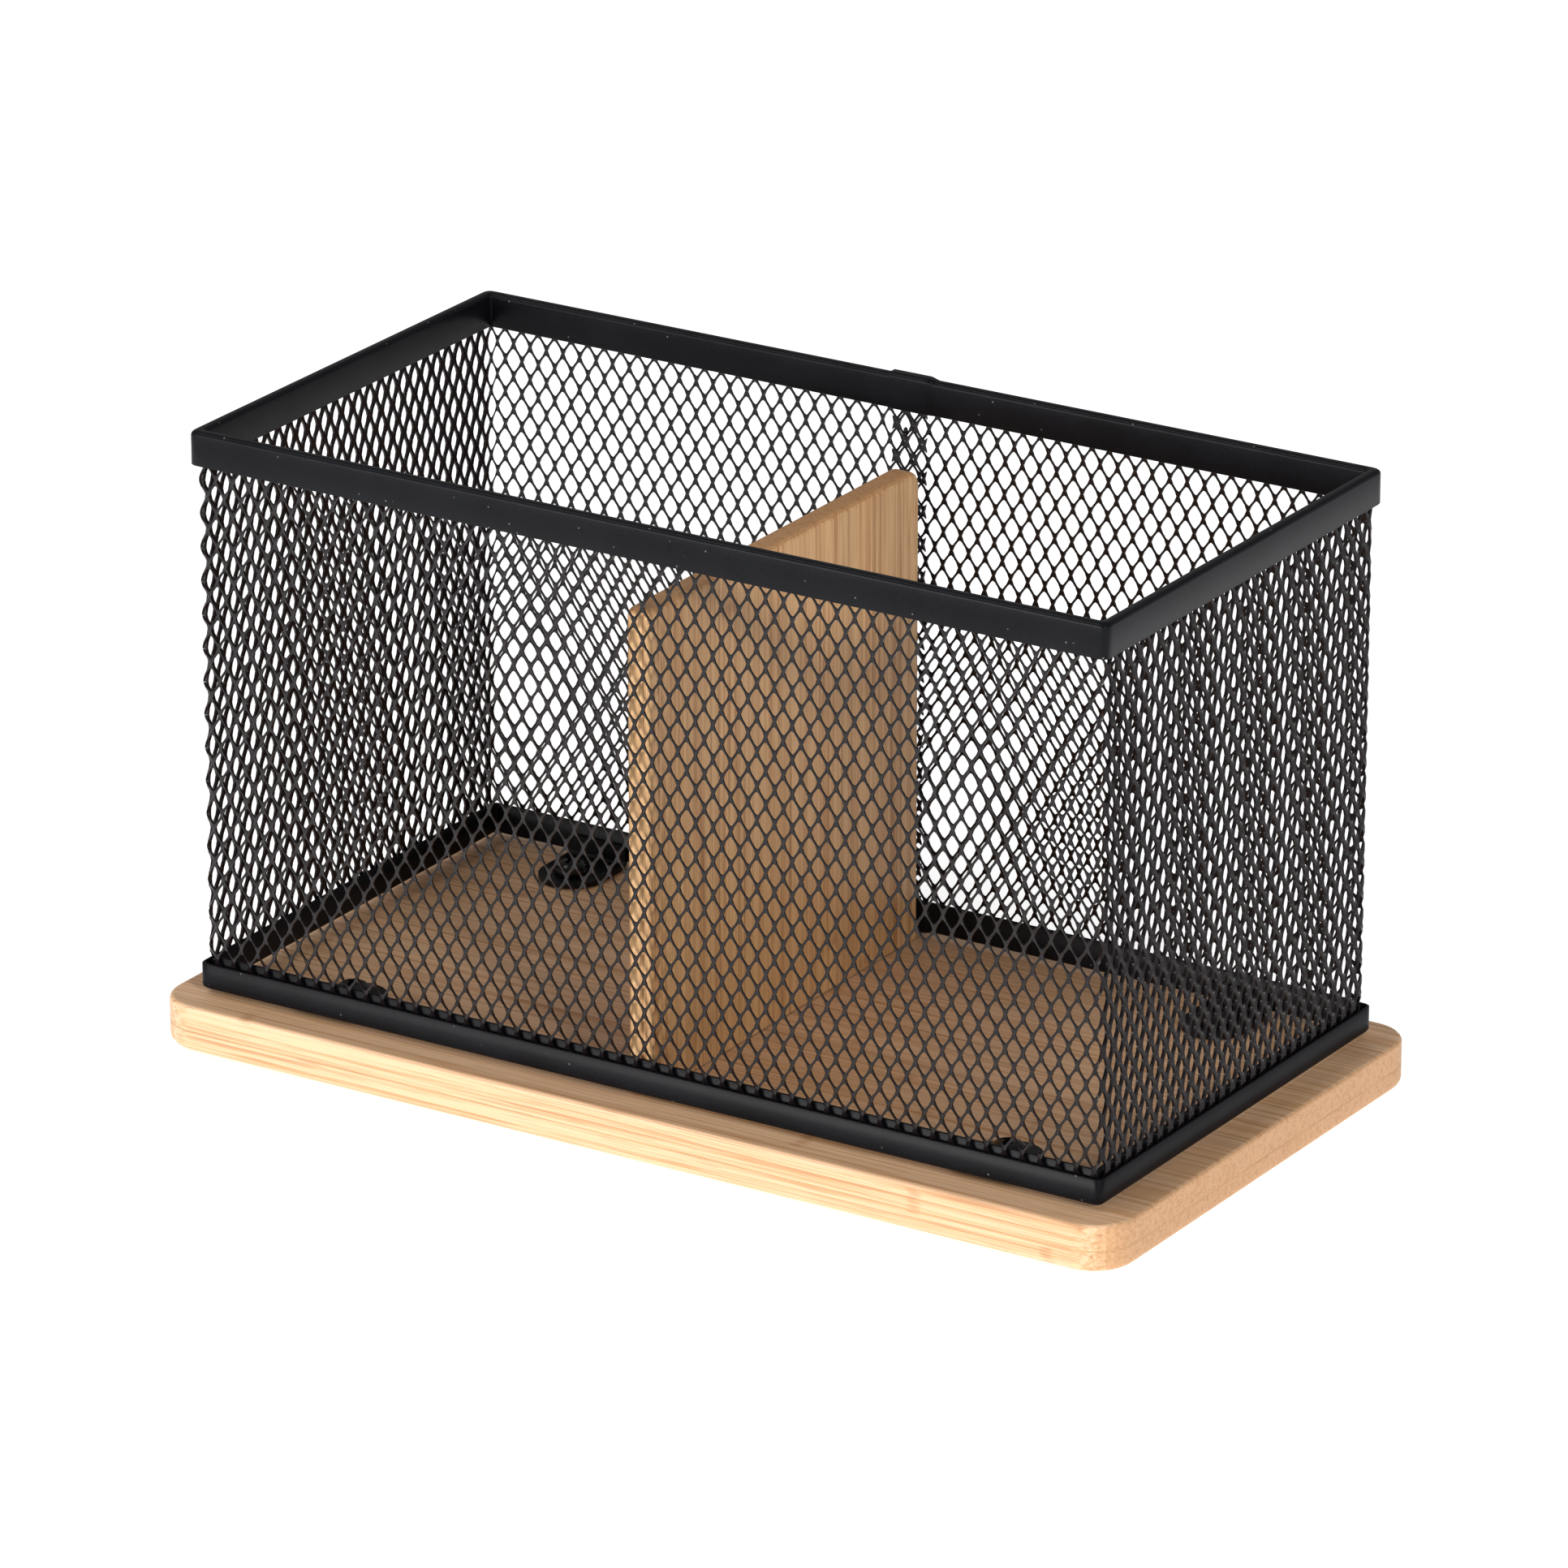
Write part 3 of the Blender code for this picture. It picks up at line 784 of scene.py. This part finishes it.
        sheet = bmesh.new()
        bmesh.ops.create_grid(sheet, x_segments=count, y_segments=count, size=count / 2)
        bmesh.ops.transform(sheet, matrix=Matrix.Translation(centre) @ half, verts=sheet.verts)
        outside = []
        for face in sheet.faces:
            spot = face.calc_center_median()
            if not (length.start - self.pitch_along < spot.x < length.end + self.pitch_along
                    and self.bottom - self.pitch_up < spot.y < self.top + self.pitch_up):
                outside.append(face)
        bmesh.ops.delete(sheet, geom=outside, context="FACES")
        bmesh.ops.bisect_edges(sheet, edges=sheet.edges, cuts=2)
        ring = bmesh.ops.inset_individual(
            sheet, faces=sheet.faces, thickness=self.inset, use_even_offset=True)["faces"]
        kept = set(ring)
        bmesh.ops.delete(
            sheet, geom=[face for face in sheet.faces if face not in kept], context="FACES_ONLY")
        cuts = (((length.start, 0.0, 0.0), (-1.0, 0.0, 0.0)),
                ((length.end, 0.0, 0.0), (1.0, 0.0, 0.0)),
                ((0.0, self.bottom, 0.0), (0.0, -1.0, 0.0)),
                ((0.0, self.top, 0.0), (0.0, 1.0, 0.0)))
        for spot, direction in cuts:
            bmesh.ops.bisect_plane(
                sheet, geom=[*sheet.verts, *sheet.edges, *sheet.faces], dist=self.plane_reach,
                plane_co=spot, plane_no=direction, clear_outer=True)
        grown = bmesh.ops.extrude_face_region(sheet, geom=sheet.faces)
        raised = [item for item in grown["geom"] if isinstance(item, bmesh.types.BMVert)]
        bmesh.ops.translate(sheet, vec=(0.0, 0.0, self.sheet), verts=raised)
        bmesh.ops.recalc_face_normals(sheet, faces=sheet.faces)
        return sheet

    def shape(self, points: np.ndarray, length: SheetLength) -> np.ndarray:
        """Round the holes, tilt the strands and bend the flat sheet round the plan.

        Args:
            points: The flat sheet's vertices.
            length: The length that they belong to.

        Returns:
            The vertices in place.
        """
        along, up, through = points[:, 0].copy(), points[:, 1].copy(), points[:, 2]
        through = through - self.sheet / 2
        first, second = self.strand_lines(along, up)
        spread = 1 / math.hypot(1 / self.pitch_along, 1 / self.pitch_up)
        off_line = spread * np.minimum(np.abs(first - np.round(first)),
                                       np.abs(second - np.round(second)))
        edge = off_line > self.edge_share * self.inset

        from_first = first - np.floor(first) - 0.5
        from_second = second - np.floor(second) - 0.5
        x = (from_first + from_second) / 2 * self.pitch_along
        y = (from_first - from_second) / 2 * self.pitch_up
        reach = (np.abs(x / self.hole_half_width) ** self.hole_squareness
                 + np.abs(y / self.hole_half_height) ** self.hole_squareness)
        reach = np.maximum(reach, self.least_reach)
        factor = np.where(edge, reach ** (-1 / self.hole_squareness), 1.0)
        at_cut = np.minimum(np.abs(along - length.start),
                            np.abs(along - length.end)) < self.cut_reach
        along = np.where(at_cut, along, along + (factor - 1) * x)
        up = up + (factor - 1) * y

        through = through * np.where(edge, self.edge_drop, 1.0)
        through = through + self.strand_slope * self.across_strand(along, up)
        up = up + self.strand_sway * np.sin(
            2 * math.tau * (up - self.first_bond_up) / self.pitch_up)
        bow = self.wave_bow * np.sin(up * self.wave_bow_up)
        wave = (np.sin(along * self.wave_along + bow)
                * np.sin(up * self.wave_up + along * self.wave_shear))
        through = through + self.unevenness * wave
        return self.bend(along, up, through)

    def strand_lines(self, along: np.ndarray, up: np.ndarray) -> tuple[np.ndarray, np.ndarray]:
        """Count the strands up to each point.

        Args:
            along: Distances along the sheet.
            up: Heights.

        Returns:
            The counts of the strands that lean one way and of those that lean the other way.
        """
        shift = (along - self.first_bond_along) / self.pitch_along
        climb = (up - self.first_bond_up) / self.pitch_up
        return shift + climb, shift - climb

    def across_strand(self, along: np.ndarray, up: np.ndarray) -> np.ndarray:
        """Measure how far each point is from the middle of its strand, level across the sheet.

        Args:
            along: Distances along the sheet.
            up: Heights.

        Returns:
            The signed distances, blended where two strands join.
        """
        total, weights = np.zeros_like(along), np.zeros_like(along)
        for line in self.strand_lines(along, up):
            offset = self.pitch_along * (line - np.round(line))
            weight = 1 / (offset ** 2 + self.crossing_blend ** 2)
            total, weights = total + weight * offset, weights + weight
        return total / weights

    def bend(self, along: np.ndarray, up: np.ndarray, through: np.ndarray) -> np.ndarray:
        """Bend the sheet round the plan, and step its left end in at the lap.

        Args:
            along: Distances along the sheet.
            up: Heights.
            through: Distances out from the middle of the sheet.

        Returns:
            The bent points.
        """
        distances, rows = self.plan.table(self.centre_inset)
        corner = self.plan.straight_x
        arc = math.pi / 2 * (self.plan.corner_radius - self.centre_inset)
        path_marks = np.cumsum([0.0, corner, arc, 2 * self.plan.straight_y, arc, 2 * corner])
        side = np.where(along < 0, -1.0, 1.0)
        path, level, lean = (np.empty_like(along) for _ in range(3))
        for sign, wall, back in ((1, self.right_wall, self.back_right),
                                 (-1, self.left_wall, self.back_left)):
            here = side == sign
            marks = self.sheet_marks(sign)
            distance = np.abs(along[here])
            path[here] = np.interp(distance, marks, path_marks)
            ends = marks[1:5]
            level[here] = np.interp(distance, ends, [0.0, wall.level, wall.level, back.level])
            lean[here] = np.interp(distance, ends, [0.0, wall.lean, wall.lean, back.lean])
        path = path + lean * (self.lean_top - up)
        up = up + level
        x, y, out_x, out_y = (np.interp(path, distances, column) for column in rows.T)
        size = np.hypot(out_x, out_y)
        x, out_x, out_y = side * x, side * out_x / size, out_y / size
        on_back_left = (along < 0) & (y > self.plan.straight_y)
        share = np.clip((x - (self.plan.lap_end - self.lap_reach)) / self.lap_reach, 0.0, 1.0)
        step = np.where(on_back_left, share * share * (3 - 2 * share), 0.0)
        through = through - self.lap_step * step
        return np.column_stack([x + out_x * through, y + out_y * through, up])

    def build(self, material: bpy.types.Material) -> None:
        """Build every length of the sheet.

        Args:
            material: The mesh's finish.
        """
        for length in self.lengths():
            mesh = mesh_of(self.flat(length), length.name, SHARP_ANGLE)
            flat_points = np.empty(len(mesh.vertices) * 3)
            mesh.vertices.foreach_get("co", flat_points)
            shaped = self.shape(flat_points.reshape(-1, 3), length)
            mesh.vertices.foreach_set("co", shaped.ravel())
            mesh.update()
            finish_piece(length.name, mesh, material, "mesh_wrap")


class Edge(Enum):
    """The edge of the sheet that a channel is folded over."""

    TOP = 1
    BOTTOM = -1


@dataclass
class FoldedChannel:
    """A steel strip folded over one edge of the sheet, with its ends lapped on the back wall.

    The fold is set back inside the CAD node by a little more than the lap rises.
    """

    name: str
    node: str
    plan: BasketPlan
    edge: Edge
    outer_height: float
    inner_height: float
    width: float = 2.5 * MM
    sheet: float = 0.5 * MM
    fold_radius: float = 0.95 * MM
    lip: float = 0.14 * MM
    fold_steps: int = 6
    fold_setback: float = 0.40 * MM
    lap_rise: float = 0.38 * MM
    lap_ramp: float = 2.6 * MM
    ramp_shares: tuple[float, ...] = (0.15, 0.35, 0.35, 0.15)
    end_band: float = 0.30 * MM
    squareness: float = 2.6

    def section(self) -> list[tuple[float, float]]:
        """Outline the folded strip.

        Returns:
            The distance in from the outer face, and from the fold, of each point.
        """
        points: list[tuple[float, float]] = []
        outer, inner, lip = self.outer_height, self.inner_height, self.lip
        far, wall = self.width, self.sheet

        def fold(centre: tuple[float, float], radius: float, start: float, end: float) -> None:
            """Add the points of one fold.

            Args:
                centre: The fold's centre, as a point of the outline.
                radius: Its radius.
                start: The angle where it starts, in degrees.
                end: The angle where it ends.
            """
            for step in range(self.fold_steps + 1):
                angle = math.radians(start + (end - start) * step / self.fold_steps)
                points.append((centre[0] + radius * math.cos(angle),
                               centre[1] - radius * math.sin(angle)))

        points += [(lip, outer), (0.0, outer - lip)]
        fold((self.fold_radius, self.fold_radius), self.fold_radius, 180.0, 90.0)
        fold((far - self.fold_radius, self.fold_radius), self.fold_radius, 90.0, 0.0)
        points += [(far, inner - lip), (far - lip, inner), (far - wall + lip, inner),
                   (far - wall, inner - lip)]
        tight = self.fold_radius - wall
        fold((far - self.fold_radius, self.fold_radius), tight, 0.0, 90.0)
        fold((self.fold_radius, self.fold_radius), tight, 90.0, 180.0)
        points += [(wall, outer - lip), (wall - lip, outer)]
        return points

    def build(self, material: bpy.types.Material) -> None:
        """Sweep the strip round the basket and cap its ends.

        Args:
            material: The channel's finish.
        """
        low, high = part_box(self.node)
        plan = self.plan
        fold_level = (high[2] - self.fold_setback if self.edge is Edge.TOP
                      else low[2] + self.fold_setback)
        strip = bmesh.new()
        verts = [strip.verts.new((plan.lap_start, plan.half_width - inset,
                                  fold_level - self.edge.value * drop))
                 for inset, drop in self.section()]
        loop = [strip.edges.new(pair) for pair in zip(verts, verts[1:] + verts[:1])]

        loop = self.push(strip, loop, (-plan.straight_x - plan.lap_start, 0.0, 0.0))
        long_run, short_run = 2 * plan.straight_x, 2 * plan.straight_y
        turns = ((-1, 1, (0.0, -short_run, 0.0)), (-1, -1, (long_run, 0.0, 0.0)),
                 (1, -1, (0.0, short_run, 0.0)))
        for side_x, side_y, run in turns:
            loop = self.turn(strip, loop, side_x, side_y)
            loop = self.push(strip, loop, run)
        loop = self.turn(strip, loop, 1, 1)
        self.square_corners(strip)
        ramp_start = plan.lap_start + self.lap_ramp
        loop = self.push(strip, loop, (ramp_start - plan.straight_x, 0.0, 0.0))
        for share in self.ramp_shares:
            loop = self.push(strip, loop, (-self.lap_ramp / len(self.ramp_shares), 0.0, 0.0))
            self.swell(loop, fold_level, self.lap_rise * share)
        lap = plan.lap_end - plan.lap_start + self.end_band
        loop = self.push(strip, loop, (lap, 0.0, 0.0))
        self.push(strip, loop, (-self.end_band, 0.0, 0.0))
        open_edges = [edge for edge in strip.edges if edge.is_boundary]
        bmesh.ops.holes_fill(strip, edges=open_edges, sides=0)
        bmesh.ops.recalc_face_normals(strip, faces=strip.faces)
        mesh = mesh_of(strip, self.name, SHARP_ANGLE)
        finish_piece(self.name, mesh, material, self.node)

    @staticmethod
    def push(strip: bmesh.types.BMesh, loop: list[bmesh.types.BMEdge],
             run: tuple[float, float, float]) -> list[bmesh.types.BMEdge]:
        """Extrude the end of the strip along a straight run.

        Args:
            strip: The strip.
            loop: The edges at its end.
            run: How far it goes.

        Returns:
            The edges at its new end.
        """
        made = bmesh.ops.extrude_edge_only(strip, edges=loop)["geom"]
        verts = [item for item in made if isinstance(item, bmesh.types.BMVert)]
        bmesh.ops.translate(strip, vec=run, verts=verts)
        return [item for item in made if isinstance(item, bmesh.types.BMEdge)
                and all(vert in set(verts) for vert in item.verts)]

    def turn(self, strip: bmesh.types.BMesh, loop: list[bmesh.types.BMEdge],
             side_x: int, side_y: int) -> list[bmesh.types.BMEdge]:
        """Bend the end of the strip round a corner of the basket.

        Args:
            strip: The strip.
            loop: The edges at its end.
            side_x: Which end of the basket the corner is at, -1 or 1.
            side_y: Whether it is at the front, -1, or at the back, 1.

        Returns:
            The edges at its new end.
        """
        centre = (side_x * self.plan.straight_x, side_y * self.plan.straight_y, 0.0)
        verts = list({vert for edge in loop for vert in edge.verts})
        turned = bmesh.ops.spin(
            strip, geom=[*verts, *loop], cent=centre, axis=(0.0, 0.0, 1.0),
            angle=math.pi / 2, steps=self.plan.corner_steps)
        return [item for item in turned["geom_last"] if isinstance(item, bmesh.types.BMEdge)]

    def square_corners(self, strip: bmesh.types.BMesh) -> None:
        """Sharpen the outside of the corners, where the strip is pressed square.

        Args:
            strip: The strip.
        """
        plan = self.plan
        for vert in strip.verts:
            out_x, out_y = abs(vert.co.x) - plan.straight_x, abs(vert.co.y) - plan.straight_y
            if out_x <= 0.0 or out_y <= 0.0:
                continue
            reach = math.hypot(out_x, out_y)
            power = 2.0 + self.squareness * (reach / plan.corner_radius) ** 2
            stretch = reach / (out_x ** power + out_y ** power) ** (1 / power)
            vert.co.x = math.copysign(plan.straight_x + out_x * stretch, vert.co.x)
            vert.co.y = math.copysign(plan.straight_y + out_y * stretch, vert.co.y)

    def swell(self, loop: list[bmesh.types.BMEdge], fold_level: float, growth: float) -> None:
        """Move the end of the strip further off the strip that it laps.

        Args:
            loop: The edges at its end.
            fold_level: The height of the fold's outside.
            growth: How much further it stands off.
        """
        middle = self.plan.half_width - self.width / 2
        for vert in {vert for edge in loop for vert in edge.verts}:
            vert.co.y += math.copysign(growth, vert.co.y - middle)
            if abs(vert.co.z - fold_level) < self.fold_radius + 2 * self.lap_rise:
                vert.co.z += self.edge.value * growth


@dataclass
class LapWelds:
    """Drops of weld and coating that join the sheet's two ends on the back wall.

    The heights and the offsets from the wall's middle are in millimetres. The thickness and the
    tallness are what the round drops are stretched by.
    """

    plan: BasketPlan
    radius: float = 0.46 * MM
    inset: float = 1.45 * MM
    heights: tuple[float, ...] = (24.0, 37.5, 52.0, 66.5, 80.5, 95.0, 109.0, 119.5)
    offsets: tuple[float, ...] = (-5.0, -3.6, -4.2, -3.2, -5.4, -2.8, -4.8, -3.4)
    thickness: float = 1.15
    tallness: tuple[float, ...] = (1.3, 1.6, 1.9)

    def build(self, material: bpy.types.Material) -> None:
        """Build the drops as one piece.

        Args:
            material: Their finish.
        """
        drops = bmesh.new()
        for index, (height, offset) in enumerate(zip(self.heights, self.offsets)):
            place = Matrix.LocRotScale(
                Vector((offset * MM, self.plan.half_width - self.inset, height * MM)), None,
                Vector((1.0, self.thickness, self.tallness[index % len(self.tallness)])))
            bmesh.ops.create_icosphere(drops, subdivisions=2, radius=self.radius, matrix=place)
        finish_piece("lap_welds", mesh_of(drops, "lap_welds", None), material)


@dataclass
class GlueFilm:
    """The thin film of glue that shows between the base's two plies."""

    setback: float = 0.03 * MM
    corner_radius: float = 9.0 * MM
    corner_steps: int = 12

    def build(self, material: bpy.types.Material) -> None:
        """Build the film in the gap between the plies.

        Args:
            material: Its finish.
        """
        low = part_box("base_lower_ply")
        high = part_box("base_upper_ply")
        size = [high[1][axis] - high[0][axis] - 2 * self.setback for axis in (0, 1)]
        bottom, top = low[1][2], high[0][2]
        film = bmesh.new()
        bmesh.ops.create_cube(film, size=1.0)
        bmesh.ops.scale(film, vec=(*size, top - bottom), verts=film.verts)
        bmesh.ops.translate(film, vec=(0.0, 0.0, (top + bottom) / 2), verts=film.verts)
        uprights = [edge for edge in film.edges
                    if abs(edge.verts[0].co.z - edge.verts[1].co.z) > (top - bottom) / 2]
        bmesh.ops.bevel(
            film, geom=uprights, offset=self.corner_radius, offset_type="OFFSET",
            segments=self.corner_steps, profile=0.5, affect="EDGES", material=-1)
        finish_piece("glue_film", mesh_of(film, "glue_film", SHARP_ANGLE), material)


@dataclass
class Fittings:
    """The CAD nodes that keep their shape, by the finish that they get."""

    finishes: dict[str, CoatFinish | BambooFinish]

    def build(self, effects: Effects) -> None:
        """Dress every node whose name starts with one of the given words.

        Args:
            effects: The shared node groups.
        """
        for start, finish in self.finishes.items():
            material = finish.material(effects)
            for node in sorted(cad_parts):
                if node.startswith(start):
                    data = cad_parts[node].data
                    data.materials.clear()
                    data.materials.append(material)
                    LOG.info("%s: CAD node, finish %s", node, material.name)


# ---------------------------------------------------------------- studio


@dataclass(frozen=True)
class StudioLight:
    """A rectangular light that points at the object."""

    name: str
    place: tuple[float, float, float]
    size: tuple[float, float]
    watts: float
    colour: Colour
    aim: tuple[float, float, float] = (0.0, 0.0, 0.06)

    def hang(self) -> None:
        """Put the light into the scene."""
        data = bpy.data.lights.new(self.name, "AREA")
        data.shape = "RECTANGLE"
        data.size, data.size_y = self.size
        data.energy = self.watts
        data.color = self.colour
        light = new_object(self.name, data)
        light.location = self.place
        towards = Vector(self.aim) - Vector(self.place)
        light.rotation_euler = towards.to_track_quat("-Z", "Y").to_euler()


LIGHTS = (
    StudioLight("key_light", (-0.60, -1.80, 0.30), (0.9, 0.5), 23.0, (1.0, 0.985, 0.96)),
    StudioLight("top_light", (-0.80, -0.58, 1.50), (0.40, 0.40), 4.6, WHITE),
    StudioLight("side_light", (1.50, -1.00, 0.80), (0.22, 0.22), 17.0, (0.97, 0.985, 1.0)),
)


@dataclass
class Studio:
    """A pale floor, soft lights and the camera."""

    azimuth: float = 32.255
    elevation: float = 20.894
    camera_place: tuple[float, float, float] = (1.03273, -1.63598, 0.79932)
    lens: float = 238.80
    sensor: float = 36.0
    far: float = 50.0
    floor_size: float = 8.0
    floor_drop: float = 0.02 * MM
    floor_dark: Colour = (0.93, 0.93, 0.93)
    floor_light: Colour = (0.96, 0.96, 0.96)
    floor_cloud_scale: float = 6.0
    floor_roughness: float = 0.9
    floor_specular: float = 0.1
    floor_glow: float = 0.60
    sky_strength: float = 0.32

    def build(self) -> None:
        """Build the floor, the lights, the surroundings and the camera."""
        self.build_floor()
        self.build_lights()
        self.build_camera()

    def build_floor(self) -> None:
        """Lay the floor, which is see-through from below, so that the underside shows there."""
        made = bmesh.new()
        bmesh.ops.create_grid(made, x_segments=1, y_segments=1, size=self.floor_size / 2)
        bmesh.ops.translate(made, vec=(0.0, 0.0, -self.floor_drop), verts=made.verts)
        mesh = mesh_of(made, "floor", None)
        material, w, shader, coordinates = start_material("floor_pale_card")
        soft = w.noise(coordinates.outputs["Object"], scale=self.floor_cloud_scale, detail=1.0)
        for label, value in {
                "Base Color": w.blend(soft, self.floor_dark, self.floor_light),
                "Roughness": self.floor_roughness, "Specular IOR Level": self.floor_specular,
                "Emission Color": WHITE, "Emission Strength": self.floor_glow}.items():
            w.plug(shader.inputs[label], value)
        facing = w.add("ShaderNodeNewGeometry")
        clear = w.add("ShaderNodeBsdfTransparent")
        mixed = w.add("ShaderNodeMixShader", {"Fac": facing.outputs["Backfacing"]})
        w.plug(mixed.inputs[1], shader.outputs[0])
        w.plug(mixed.inputs[2], clear.outputs[0])
        w.plug(material.node_tree.nodes["Material Output"].inputs["Surface"], mixed.outputs[0])
        mesh.materials.append(material)
        new_object("floor", mesh)

    def build_lights(self) -> None:
        """Hang a large front light, a top light and a side light, in pale surroundings."""
        for light in LIGHTS:
            light.hang()
        world = bpy.data.worlds.new("surroundings")
        world.use_nodes = True
        sky = world.node_tree.nodes["Background"]
        sky.inputs["Color"].default_value = (*WHITE, 1.0)
        sky.inputs["Strength"].default_value = self.sky_strength
        bpy.context.scene.world = world
        bpy.context.scene.view_settings.view_transform = "Standard"

    def build_camera(self) -> None:
        """Set up the camera."""
        data = bpy.data.cameras.new("camera")
        data.sensor_width = self.sensor
        data.lens = self.lens
        data.clip_end = self.far
        camera = new_object("camera", data)
        camera.location = self.camera_place
        camera.rotation_euler = (math.radians(90.0 - self.elevation), 0.0,
                                 math.radians(self.azimuth))
        bpy.context.scene.camera = camera


def main() -> None:
    """Build the object's looks and the studio round it."""
    logging.basicConfig(level=logging.INFO, format="%(name)s: %(message)s")
    Studio().build()
    effects = Effects()
    plan = BasketPlan.from_cad()
    mesh_coat = MESH_COAT.material(effects)
    channel_coat = CHANNEL_COAT.material(effects)
    DiamondSheet(plan).build(mesh_coat)
    LapWelds(plan).build(mesh_coat)
    FoldedChannel("rim_channel_folded", "rim_channel", plan, Edge.TOP,
                  outer_height=7.2 * MM, inner_height=7.2 * MM).build(channel_coat)
    FoldedChannel("foot_channel_folded", "foot_channel", plan, Edge.BOTTOM,
                  outer_height=5.6 * MM, inner_height=6.8 * MM).build(channel_coat)
    GlueFilm().build(GLUE.material(effects))
    Fittings({
        "base_": BASE_BAMBOO, "divider_panel": DIVIDER_BAMBOO, "lug_front": LUG_COAT,
        "lug_back": LUG_COAT, "lug_screw": SCREW_OXIDE, "divider_screw": ZINC,
        "foot_pad": PAD_FOAM}).build(effects)


if __name__ == "__main__":
    main()
